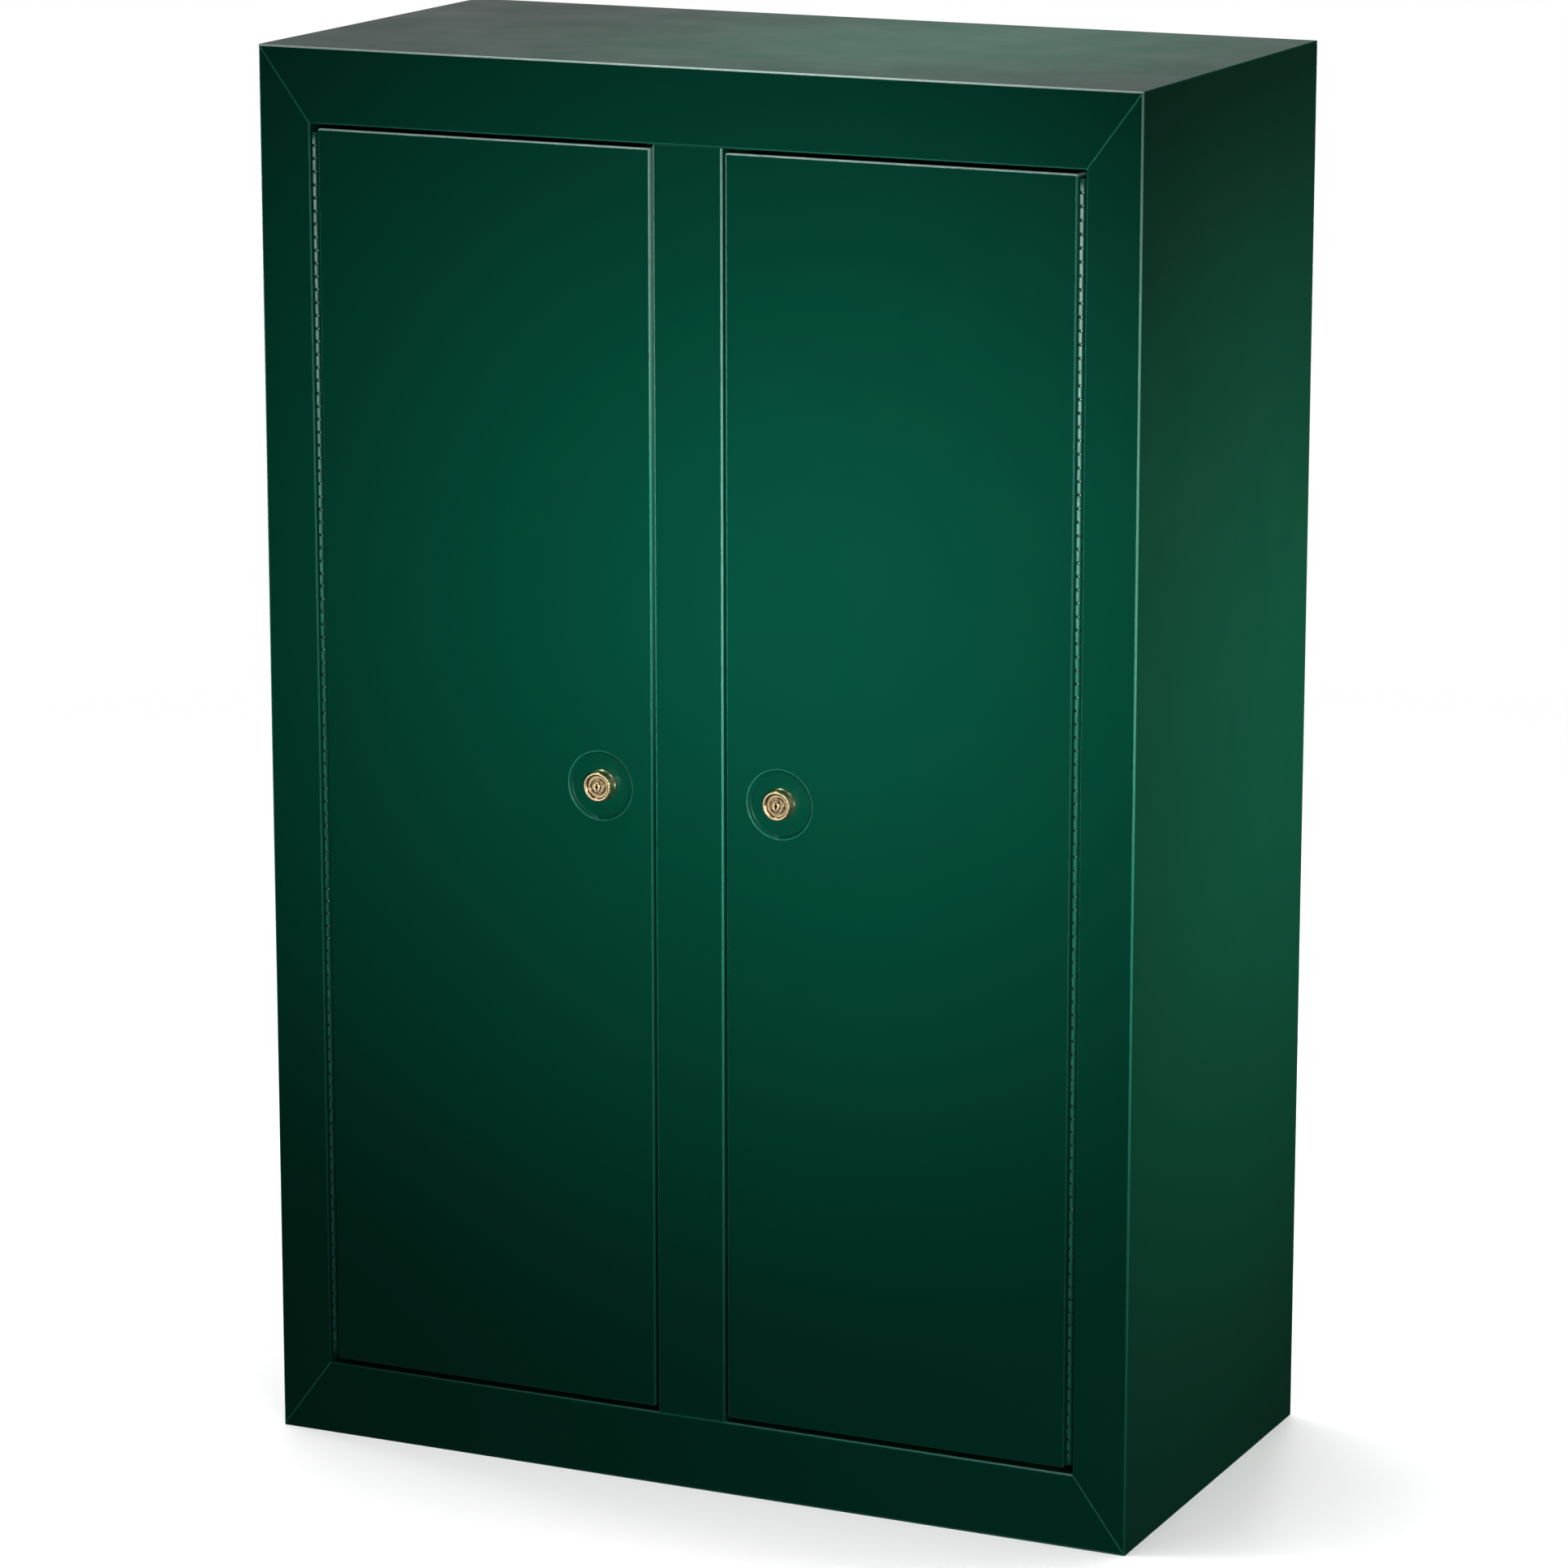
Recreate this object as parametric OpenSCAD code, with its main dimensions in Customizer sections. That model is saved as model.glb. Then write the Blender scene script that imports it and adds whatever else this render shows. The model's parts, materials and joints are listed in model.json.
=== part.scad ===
// Freestanding two-door sheet-steel gun cabinet.
// Millimetres, +Z up. The origin is the centre of the case's footprint on the floor, and the doors face -Y.
// At rest both doors are shut and both locks are turned to open, with the rods drawn in.

/* [Case] */
// Overall width
case_w = 914.4; // [880:0.1:960]
// Overall depth, front frame to back flange
case_d = 457.2; // [430:0.1:500]
// Overall height
case_h = 1397; // [1360:1:1440]
// Thickness of the sheet steel
sheet = 1; // [0.9:0.1:1.3]
// Outside radius of a folded edge
bend_r = 2; // [1.6:0.1:2.4]
// Width of the front frame's uprights
stile_w = 55; // [50:1:60]
// Height of the front frame's top and bottom rails
rail_w = 74; // [66:1:80]
// Depth of the fold behind the frame's inner edge
frame_fold = 25; // [24.5:0.1:27]
// Width of the fold around the back
back_fold = 20; // [12:1:30]
// Width of the centre post
post_w = 72; // [60:1:76]
// Seam between two mitred sheets
seam = 0.3; // [0.2:0.1:0.5]
// Distance between the wall anchor holes, sideways
anchor_dx = 406.4; // [300:0.1:500]
// Distance between the wall anchor holes, up and down
anchor_dz = 1000; // [800:1:1100]
// Radius of a wall anchor hole
anchor_r = 4.75; // [3:0.05:6]

/* [Doors] */
// Depth of a door pan
door_d = 22; // [21.6:0.1:22.4]
// Gap at a door's hinge side, which holds the knuckles
hinge_gap = 8.4; // [8.2:0.1:9]
// Gap between a door and the centre post
post_gap = 3; // [2:0.1:5]
// Gap above a door
top_gap = 4; // [2:0.1:5]
// Gap below a door
bottom_gap = 5; // [2:0.1:6]
// Width of the lip around a door pan's back
door_lip = 12; // [8:1:14]

/* [Hinges] */
// Outside radius of a hinge knuckle
knuckle_r = 3.5; // [3.3:0.1:3.6]
// Pitch of the knuckles
knuckle_pitch = 12.7; // [10:0.1:20]
// Gap between two knuckles
knuckle_gap = 0.4; // [0.3:0.1:0.8]
// Radius of the hinge pin
pin_r = 1.5; // [1.2:0.1:1.8]
// Radial play of the moving knuckles on the pin
pin_play = 0.05; // [0.03:0.01:0.1]

/* [Locks] */
// Distance of a lock's axis from the cabinet's centre line
lock_x = 95; // [93:1:97]
// Height of the locks
lock_z = 700; // [680:1:720]
// Radius of the round dish pressed into a door
dish_r = 34.5; // [33:0.5:36]
// Depth of the dish
dish_d = 3; // [2.5:0.1:3.2]
// How far a lock stands out from its dish
lock_out = 11; // [8:0.5:13]
// Radius of a lock's head
head_r = 15; // [14:0.5:17]
// Radius of a lock's threaded barrel
barrel_r = 9.5; // [9:0.1:9.5]
// Radius of the turning plug
plug_r = 7; // [6.5:0.1:7.2]
// Distance of a cam's drive pins from the lock's axis
crank_r = 20; // [19.8:0.1:20.2]
// Reach of a cam's tongue
tongue_l = 53; // [50:1:54]
// Width of a locking rod
rod_w = 16; // [15:0.5:17]
// Thickness of a locking rod
rod_t = 4; // [3.5:0.1:4]

/* [Inside] */
// Pitch of the slots in the shelf standards
slot_pitch = 40; // [30:1:42]
// Front to back size of a shelf
shelf_d = 370; // [340:1:380]
// Height of a shelf's folded edge
shelf_lip = 18; // [14:1:24]
// Number of notches in the barrel rest
notch_n = 5; // [3:1:5]
// Radius of a notch in the barrel rest
notch_r = 16; // [12:1:18]
// Height of the barrel rest's bracket
rest_z = 1010; // [900:1:1060]
// Thickness of the floor pads
pad_t = 12; // [8:1:16]

/* [Hidden] */
$fn = 64;
eps = 0.01;
half_w = case_w / 2;
y_front = -case_d / 2;
y_back = case_d / 2;
open_x = half_w - stile_w;
inner_r = bend_r - sheet;
back_y = y_back - 2 * sheet;

// Doors
door_x0 = -open_x + hinge_gap;
door_x1 = -post_w / 2 - post_gap;
door_w = door_x1 - door_x0;
door_z0 = rail_w + bottom_gap;
door_z1 = case_h - rail_w - top_gap;
door_h = door_z1 - door_z0;
door_back = y_front + door_d;

// Hinges
hinge_x = -open_x + hinge_gap / 2;
hinge_y = y_front + knuckle_r + 0.1;
knuckle_n = 2 * floor((door_h / knuckle_pitch - 1) / 2) + 1;
hinge_l = knuckle_n * knuckle_pitch;
hinge_z = (door_z0 + door_z1 - hinge_l) / 2;
leaf_t = 1.2;
leaf_d = 19.5;
leaf_relief = 4.2;

// Locks, with depths counted from the lock's own front face
face_y = y_front + dish_d - lock_out;
barrel_end = y_front + 24.4;
cam_y = y_front + 25;
cam_t = 3;
tail_w = 8;
pin_s = crank_r * sin(45);
drive_r = 2;
stop_y = y_front + door_d + 0.6;

// The stiffening channel that carries the rods, and the rods on it
web_y = y_front + 15.6;
channel_w = 80;
channel_foot = 13;
web_hole = 24;
rod_y = web_y + 0.5;
rod_x = 10;
rod_play = 0.5;
slot_x0 = pin_s - drive_r - 0.4;
slot_x1 = crank_r + drive_r + 0.5;
slot_h = 2 * drive_r + 2;
rod_foot = pin_s + slot_h / 2 + 5;
guide_l = 20;
guide_foot = 10;
guide_z = [[180, 500], [-180, -500]];
rivet_r = 2;

// Inside
post_flange = 18;
panel_x = half_w - sheet;
divider_flange = 15;
standard_w = 16;
standard_d = 5;
standard_y = [-150, 150];
standard_z0 = 60;
standard_z1 = case_h - 60;
slot_z0 = 100;
slot_n = floor((standard_z1 - slot_z0 - 20) / slot_pitch);
slot_w = 3.2;
slot_l = 10;
shelf_slots = [7, 15, 23];
shelf_edge = 3.5;
shelf_y0 = -180;
clip_t = 2;
clip_drop = 12;
clip_w = 14;
bay_x0 = -panel_x + standard_d;
bay_x1 = -sheet / 2 - standard_d;
shelf_x0 = bay_x0 + shelf_edge;
shelf_x1 = bay_x1 - shelf_edge;
rest_x0 = 24;
rest_x1 = 434;
rest_d = 45;
rest_lip = 22;
foam_t = 25;
foam_d = 75;
notch_pitch = 80;
pad_x0 = 20;
pad_x1 = panel_x - 6;
pad_y0 = y_front + 28;
pad_y1 = y_back - 14;
pad_r = 8;

green = [0.02, 0.2, 0.14];
steel = [0.62, 0.63, 0.65];
brass = [0.8, 0.64, 0.3];
foam = [0.12, 0.12, 0.13];

// Shared shapes

// A rectangle with round corners, from its low corner
module rounded(w, h, r) {
    translate([r, 0]) square([w - 2 * r, h]);
    translate([0, r]) square([w, h - 2 * r]);
    for (x = [r, w - r], y = [r, h - r]) translate([x, y]) circle(r);
}

// The outline of a sheet folded round a rectangle
module folded(w, h) {
    difference() {
        rounded(w, h, bend_r);
        translate([sheet, sheet]) rounded(w - 2 * sheet, h - 2 * sheet, inner_r);
    }
}

// Turns an outline drawn in X and Z into a plate of thickness t behind y
module plate_y(y, t) {
    translate([0, y + t, 0]) rotate([90, 0, 0]) linear_extrude(t) children();
}

// Turns an outline drawn in Y and Z into a bar from x0 to x1
module bar_x(x0, x1) {
    translate([x0, 0, 0]) rotate([90, 0, 90]) linear_extrude(x1 - x0) children();
}

// A cylinder along Y, from y0 to y1
module rod_along_y(r, y0, y1) {
    translate([0, y0, 0]) rotate([-90, 0, 0]) cylinder(h = y1 - y0, r = r);
}

// A turned shape about Y: its outline has the radius as X and the depth as -Y
module turned_y(y) {
    translate([0, y, 0]) rotate([90, 0, 0]) rotate_extrude() children();
}

// Places a part drawn about a lock's axis on the left door
module at_lock() {
    translate([-lock_x, 0, lock_z]) children();
}

// Case

// The left side: wall, front upright and back fold in one sheet, with mitred ends
module left_side() {
    color(green) intersection() {
        translate([-half_w, y_front, 0]) linear_extrude(case_h) difference() {
            folded(stile_w, case_d);
            translate([back_fold, frame_fold]) square([stile_w, case_d]);
        }
        plate_y(y_front, case_d) polygon([
            [-half_w, seam],
            [-open_x, rail_w + seam],
            [-open_x, case_h - rail_w - seam],
            [-half_w, case_h - seam]
        ]);
    }
}

module right_side() {
    mirror([1, 0, 0]) left_side();
}

// The holes that the rods of both doors enter
module rod_holes(z, side) {
    grow = 1;
    for (m = [0, 1]) mirror([m, 0, 0]) translate([-lock_x, 0, z])
        translate([(side > 0 ? rod_x : -rod_x - rod_w) - grow, rod_y - grow, -sheet])
            cube([rod_w + 2 * grow, rod_t + 2 * grow, 3 * sheet]);
}

// A top or bottom, drawn as the top: panel, rail and back fold in one sheet
module end_panel(side) {
    difference() {
        intersection() {
            bar_x(-half_w, half_w) translate([y_front, case_h - rail_w]) difference() {
                folded(case_d, rail_w);
                translate([frame_fold, -back_fold]) square([case_d, rail_w]);
            }
            plate_y(y_front, case_d) polygon([
                [-half_w, case_h],
                [-open_x, case_h - rail_w],
                [open_x, case_h - rail_w],
                [half_w, case_h]
            ]);
        }
        rod_holes(case_h - rail_w, side);
    }
}

module top_panel() {
    color(green) end_panel(1);
}

module bottom_panel() {
    color(green) translate([0, 0, case_h]) mirror([0, 0, 1]) end_panel(-1);
}

// The holes for the barrel rest's rivets
module rest_rivet_places() {
    for (i = [0 : 3])
        translate([rest_x0 + 25 + i * (rest_x1 - rest_x0 - 50) / 3, 0, rest_z - rest_lip / 2])
            children();
}

// The back, which lies on the folds of the sides, top and bottom, clear of their rounded corners
module back_panel() {
    gap = inner_r + 0.1;
    color(green) difference() {
        translate([-panel_x + gap, back_y, sheet + gap])
            cube([2 * (panel_x - gap), sheet, case_h - 2 * sheet - 2 * gap]);
        for (x = [-1, 1], z = [-1, 1])
            translate([x * anchor_dx / 2, 0, case_h / 2 + z * anchor_dz / 2])
                rod_along_y(anchor_r, back_y - 1, back_y + sheet + 1);
        rest_rivet_places() rod_along_y(rivet_r, back_y - 1, back_y + sheet + 1);
    }
}

// The centre post, a channel whose back flanges stop both doors
module centre_post() {
    gap = 0.2;
    post_d = stop_y + sheet - y_front;
    hollow = post_w - 2 * sheet;
    color(green) translate([0, y_front, rail_w + gap])
        linear_extrude(case_h - 2 * rail_w - 2 * gap) difference() {
            union() {
                translate([-post_w / 2, 0]) rounded(post_w, post_d + bend_r, bend_r);
                translate([-post_w / 2 - post_flange, post_d - sheet])
                    square([post_w + 2 * post_flange, sheet + bend_r]);
            }
            translate([-hollow / 2, sheet]) rounded(hollow, 2 * post_d, inner_r);
            translate([-post_w, post_d]) square([2 * post_w, 2 * bend_r]);
        }
}

// The wall between the two bays, folded at its front, back, top and bottom edges
module divider() {
    gap = 0.1;
    z0 = sheet + gap;
    z1 = case_h - sheet - gap;
    y0 = y_front + frame_fold + 1;
    y1 = back_y - gap;
    tongue_y = y_front + sheet + gap;
    color(green) {
        bar_x(-sheet / 2, sheet / 2) polygon([
            [y0, z0], [y1, z0], [y1, z1], [y0, z1],
            [y0, case_h - rail_w - 2], [tongue_y, case_h - rail_w - 2],
            [tongue_y, rail_w + 2], [y0, rail_w + 2]
        ]);
        translate([0, tongue_y, rail_w + 2])
            cube([divider_flange, sheet, case_h - 2 * rail_w - 4]);
        translate([0, y1 - sheet, z0]) cube([divider_flange, sheet, z1 - z0]);
        for (z = [z0, z1 - sheet]) translate([0, y0, z]) cube([divider_flange, y1 - y0, sheet]);
    }
}

// Hinges

// One leaf of the left piano hinge: side -1 lies on the frame and +1 on the door.
// Its own knuckles start at number first and take every second place.
module hinge_leaf(side, bore, first) {
    cut_x = hinge_gap / 2 + 1;
    translate([hinge_x, hinge_y, hinge_z]) difference() {
        linear_extrude(hinge_l) difference() {
            union() {
                circle(knuckle_r);
                translate([side > 0 ? hinge_gap / 2 - leaf_t : -hinge_gap / 2, 0])
                    square([leaf_t, leaf_d]);
            }
            circle(bore);
        }
        for (k = [1 - first : 2 : knuckle_n - 1])
            translate([-cut_x, -knuckle_r - 1, k * knuckle_pitch - knuckle_gap / 2])
                cube([2 * cut_x, knuckle_r + 1 + leaf_relief, knuckle_pitch + knuckle_gap]);
    }
}

module left_frame_leaf() {
    color(green) hinge_leaf(-1, pin_r, 0);
}

module right_frame_leaf() {
    mirror([1, 0, 0]) left_frame_leaf();
}

module left_hinge_pin() {
    color(steel) translate([hinge_x, hinge_y, hinge_z]) cylinder(h = hinge_l, r = pin_r);
}

module right_hinge_pin() {
    mirror([1, 0, 0]) left_hinge_pin();
}

module left_door_leaf() {
    color(green) hinge_leaf(1, pin_r + pin_play, 1);
}

module right_door_leaf() {
    mirror([1, 0, 0]) left_door_leaf();
}

// Doors

// The block of a door pan, drawn in by inset on every side
module pan_block(inset, r) {
    intersection() {
        translate([door_x0 + inset, y_front + inset, door_z0])
            linear_extrude(door_h) rounded(door_w - 2 * inset, door_d - 2 * inset, r);
        bar_x(door_x0, door_x1) translate([y_front + inset, door_z0 + inset])
            rounded(door_d - 2 * inset, door_h - 2 * inset, r);
    }
}

// The holes in a door's end folds that its rods pass through
module rod_slot(side, z) {
    translate([-lock_x + (side > 0 ? rod_x : -rod_x - rod_w) - rod_play, rod_y - rod_play, z])
        cube([rod_w + 2 * rod_play, rod_t + 2 * rod_play, 3 * sheet]);
}

// The round dish, as a ring of sheet that fills the hole cut for it
module dish() {
    at_lock() turned_y(y_front) polygon([
        [dish_r, 0], [dish_r - 1.2, -0.25], [dish_r - 2, -0.9], [dish_r - 2.8, -2.2],
        [dish_r - 3.6, -dish_d + 0.2], [dish_r - 4.8, -dish_d],
        [barrel_r + 0.2, -dish_d], [barrel_r + 0.2, -dish_d - sheet],
        [dish_r - 4.4, -dish_d - sheet], [dish_r - 2.8, -dish_d - sheet + 0.4],
        [dish_r - 1.8, -2.8], [dish_r - 1, -1.5], [dish_r, -sheet]
    ]);
}

module left_door_skin() {
    lip = sheet + door_lip;
    color(green) {
        difference() {
            pan_block(0, bend_r);
            pan_block(sheet, inner_r);
            translate([door_x0 + lip, door_back - 2 * sheet, door_z0 + lip])
                cube([door_w - 2 * lip, 3 * sheet, door_h - 2 * lip]);
            at_lock() rod_along_y(dish_r, y_front - 1, y_front + 2 * sheet);
            rod_slot(1, door_z1 - 2 * sheet);
            rod_slot(-1, door_z0 - sheet);
        }
        dish();
    }
}

module right_door_skin() {
    mirror([1, 0, 0]) left_door_skin();
}

// Where the rivets of the rod guides go: two beside each guide
module guide_rivet_places() {
    for (s = [0, 1], dz = guide_z[s])
        for (x = [rod_x - 6.5, rod_x + rod_w + 6.5])
            at_lock() translate([s == 0 ? x : -x, 0, dz]) children();
}

// The upright channel welded behind a door's skin
module left_door_stiffener() {
    web_d = web_y - y_front - sheet;
    side = channel_w / 2;
    foot = side + channel_foot;
    color(green) difference() {
        translate([-lock_x, y_front + sheet, door_z0 + 6]) linear_extrude(door_h - 12) polygon([
            [-foot, 0], [-side + sheet, 0], [-side + sheet, web_d - sheet],
            [side - sheet, web_d - sheet], [side - sheet, 0], [foot, 0],
            [foot, sheet], [side, sheet], [side, web_d],
            [-side, web_d], [-side, sheet], [-foot, sheet]
        ]);
        at_lock() rod_along_y(web_hole, web_y - 2 * sheet, web_y + 1);
        guide_rivet_places() rod_along_y(rivet_r, web_y - 2 * sheet, web_y + 1);
    }
}

module right_door_stiffener() {
    mirror([1, 0, 0]) left_door_stiffener();
}

// A bridge over a rod, with one foot on each side
module rod_guide() {
    play = 0.4;
    x0 = rod_x - play - sheet;
    x1 = rod_x + rod_w + play + sheet;
    rise = 0.5 + rod_t + 0.5 + sheet;
    difference() {
        translate([0, web_y, -guide_l / 2]) linear_extrude(guide_l) {
            difference() {
                translate([x0, 0]) square([x1 - x0, rise]);
                translate([x0 + sheet, -1]) square([x1 - x0 - 2 * sheet, rise - sheet + 1]);
            }
            translate([x0 - guide_foot, 0]) square([guide_foot + eps, sheet]);
            translate([x1 - eps, 0]) square([guide_foot + eps, sheet]);
        }
        for (x = [rod_x - 6.5, rod_x + rod_w + 6.5])
            translate([x, 0, 0]) rod_along_y(rivet_r, web_y - 1, web_y + sheet + 1);
    }
}

module left_rod_guides() {
    color(steel) for (s = [0, 1], dz = guide_z[s])
        at_lock() translate([0, 0, dz]) mirror([s, 0, 0]) rod_guide();
}

module right_rod_guides() {
    mirror([1, 0, 0]) left_rod_guides();
}

// Rivets with a low head, a shank through two sheets and a set tail
module rivet(y0, y1) {
    rod_along_y(rivet_r, y0, y1);
    rod_along_y(1.7 * rivet_r, y1, y1 + 1);
    rod_along_y(1.5 * rivet_r, y0 - 0.9, y0);
}

module left_guide_rivets() {
    color(steel) guide_rivet_places() rivet(web_y - sheet, web_y + sheet);
}

module right_guide_rivets() {
    mirror([1, 0, 0]) left_guide_rivets();
}

// Locks

// Head and threaded barrel of a lock, bored for the plug
module left_lock_housing() {
    bore = plug_r + 0.05;
    end = barrel_end - face_y;
    color(brass) at_lock() turned_y(face_y) polygon([
        [bore, -1.6], [head_r - 2.8, -1.6], [head_r - 2.2, -0.2], [head_r - 1.6, 0],
        [head_r - 0.8, 0], [head_r, -0.8], [head_r, -lock_out + 1.5],
        [head_r + 0.6, -lock_out], [barrel_r, -lock_out], [barrel_r, -end], [bore, -end]
    ]);
}

module right_lock_housing() {
    mirror([1, 0, 0]) left_lock_housing();
}

// The nut that clamps a lock to its dish
module left_lock_nut() {
    nut_y = y_front + dish_d + sheet;
    color(steel) at_lock() difference() {
        translate([0, nut_y, 0]) rotate([-90, 0, 0]) cylinder(h = 5, r = 15.6, $fn = 6);
        rod_along_y(barrel_r, nut_y - 1, nut_y + 6);
    }
}

module right_lock_nut() {
    mirror([1, 0, 0]) left_lock_nut();
}

// The plug that the key turns, with its slot upright at rest
module left_lock_plug() {
    color(brass) at_lock() difference() {
        union() {
            rod_along_y(plug_r, face_y, cam_y - 0.3);
            translate([-tail_w / 2, cam_y - 0.3 - eps, -tail_w / 2])
                cube([tail_w, cam_t + 0.3 + eps, tail_w]);
        }
        translate([-0.9, face_y - 1, -4.6]) cube([1.8, 15, 9.2]);
        rod_along_y(1.9, face_y - 1, face_y + 14);
        rod_along_y(2.5, cam_y - 8, cam_y + cam_t + 1);
    }
}

module right_lock_plug() {
    mirror([1, 0, 0]) left_lock_plug();
}

// The cam: its tongue catches the centre post and its two pins drive the rods
module left_lock_cam() {
    disc_r = crank_r + 4.5;
    tongue_r = 11;
    color(steel) at_lock() {
        difference() {
            union() {
                rod_along_y(disc_r, cam_y, cam_y + cam_t);
                translate([-tongue_r, cam_y, tongue_r - tongue_l])
                    cube([2 * tongue_r, cam_t, tongue_l - tongue_r]);
                translate([0, 0, tongue_r - tongue_l]) rod_along_y(tongue_r, cam_y, cam_y + cam_t);
            }
            translate([-tail_w / 2, cam_y - 1, -tail_w / 2]) cube([tail_w, cam_t + 2, tail_w]);
        }
        for (s = [-1, 1])
            translate([s * pin_s, 0, -s * pin_s]) rod_along_y(drive_r, web_y + 0.6, cam_y + eps);
    }
}

module right_lock_cam() {
    mirror([1, 0, 0]) left_lock_cam();
}

module left_cam_screw() {
    head_y = cam_y + cam_t;
    color(steel) at_lock() difference() {
        union() {
            rod_along_y(6.5, head_y, head_y + 3);
            rod_along_y(2.5, cam_y - 7, head_y + 1);
        }
        translate([-0.6, head_y + 1.8, -7]) cube([1.2, 2, 14]);
    }
}

module right_cam_screw() {
    mirror([1, 0, 0]) left_cam_screw();
}

// A flat locking rod drawn pointing up, with a drive slot near its foot and a tapered nose
module rod_up(length) {
    nose = 3;
    plate_y(rod_y, rod_t) difference() {
        translate([rod_x, -rod_foot]) polygon([
            [0, 0], [rod_w, 0], [rod_w, length - 2 * nose], [rod_w - nose, length],
            [nose, length], [0, length - 2 * nose]
        ]);
        translate([slot_x0, -pin_s - slot_h / 2]) square([slot_x1 - slot_x0, slot_h]);
    }
}

module left_upper_rod() {
    color(steel) at_lock() rod_up(door_z1 - 0.5 - lock_z + rod_foot);
}

module right_upper_rod() {
    mirror([1, 0, 0]) left_upper_rod();
}

module left_lower_rod() {
    color(steel) at_lock() mirror([1, 0, 0]) mirror([0, 0, 1])
        rod_up(lock_z - door_z0 - 0.5 + rod_foot);
}

module right_lower_rod() {
    mirror([1, 0, 0]) left_lower_rod();
}

// Inside

// A slotted channel standing on a wall at x, with its slots facing away from the wall
module standard(x, face, y) {
    inner = standard_d - sheet;
    translate([x, y, 0]) mirror([face < 0 ? 1 : 0, 0, 0]) difference() {
        translate([0, -standard_w / 2, standard_z0])
            cube([standard_d, standard_w, standard_z1 - standard_z0]);
        translate([-1, sheet - standard_w / 2, standard_z0 - 1])
            cube([inner + 1, standard_w - 2 * sheet, standard_z1 - standard_z0 + 2]);
        for (k = [0 : slot_n - 1])
            translate([inner - 1, -slot_w / 2, slot_z0 + k * slot_pitch - slot_l / 2])
                cube([sheet + 2, slot_w, slot_l]);
    }
}

module side_standards() {
    color(steel) for (y = standard_y) standard(-panel_x, 1, y);
}

module divider_standards() {
    color(steel) for (y = standard_y) standard(-sheet / 2, -1, y);
}

// A shelf clip: a hook in the slot, an upright plate and a ledge
module clip() {
    translate([-sheet - 1.3, -1.1, -4]) cube([sheet + 1.3 + eps, 2.2, 8]);
    translate([0, -clip_w / 2, -clip_drop - clip_t]) cube([clip_t, clip_w, clip_drop + clip_t + 6]);
    translate([0, -clip_w / 2, -clip_drop - clip_t]) cube([clip_w, clip_w, clip_t]);
}

module shelf_clips() {
    color(steel) for (k = shelf_slots, y = standard_y) {
        z = slot_z0 + k * slot_pitch;
        translate([bay_x0, y, z]) clip();
        translate([bay_x1, y, z]) mirror([1, 0, 0]) clip();
    }
}

// A shelf hooked over the clips of slot k: a tray turned over, with its edges folded down
module shelf(k) {
    z = slot_z0 + k * slot_pitch - clip_drop;
    w = shelf_x1 - shelf_x0;
    color(green) translate([shelf_x0, shelf_y0, z]) difference() {
        intersection() {
            bar_x(0, w) rounded_top(shelf_d, shelf_lip, bend_r);
            translate([0, shelf_d, 0]) rotate([90, 0, 0]) linear_extrude(shelf_d)
                rounded_top(w, shelf_lip, bend_r);
        }
        translate([sheet, sheet, -1])
            cube([w - 2 * sheet, shelf_d - 2 * sheet, shelf_lip - sheet + 1]);
    }
}

// A rectangle whose two upper corners are round
module rounded_top(w, h, r) {
    square([w, h - r]);
    translate([r, 0]) square([w - 2 * r, h]);
    for (x = [r, w - r]) translate([x, h - r]) circle(r);
}

module lower_shelf() {
    shelf(shelf_slots[0]);
}

module middle_shelf() {
    shelf(shelf_slots[1]);
}

module upper_shelf() {
    shelf(shelf_slots[2]);
}

// The steel bracket on the back wall of the gun bay, a channel open downwards
module rest_bracket() {
    y0 = back_y - rest_d;
    color(green) difference() {
        bar_x(rest_x0, rest_x1) translate([y0, rest_z - rest_lip]) difference() {
            rounded_top(rest_d, rest_lip, bend_r);
            translate([sheet, -1]) square([rest_d - 2 * sheet, rest_lip - sheet + 1]);
        }
        rest_rivet_places() rod_along_y(rivet_r, back_y - sheet - 1, back_y + 1);
    }
}

module rest_rivets() {
    color(steel) rest_rivet_places() {
        rod_along_y(rivet_r, back_y - sheet, back_y + sheet);
        rod_along_y(1.7 * rivet_r, back_y - sheet - 1, back_y - sheet);
        rod_along_y(1.5 * rivet_r, back_y + sheet, back_y + sheet + 0.9);
    }
}

// The foam strip on the bracket, with a notch for each barrel
module barrel_rest() {
    y1 = back_y - 5;
    y0 = y1 - foam_d;
    mid = (rest_x0 + rest_x1) / 2;
    notch_y = y0 + 12;
    color(foam) translate([0, 0, rest_z]) linear_extrude(foam_t) difference() {
        translate([rest_x0 + 2, y0]) square([rest_x1 - rest_x0 - 4, foam_d]);
        for (i = [0 : notch_n - 1]) translate([mid + (i - (notch_n - 1) / 2) * notch_pitch, notch_y]) {
            circle(notch_r);
            translate([-notch_r, -20]) square([2 * notch_r, 20]);
        }
    }
}

// The foam pad on the floor of the gun bay
module right_floor_pad() {
    color(foam) translate([pad_x0, pad_y0, sheet])
        linear_extrude(pad_t) rounded(pad_x1 - pad_x0, pad_y1 - pad_y0, pad_r);
}

module left_floor_pad() {
    mirror([1, 0, 0]) right_floor_pad();
}

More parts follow.
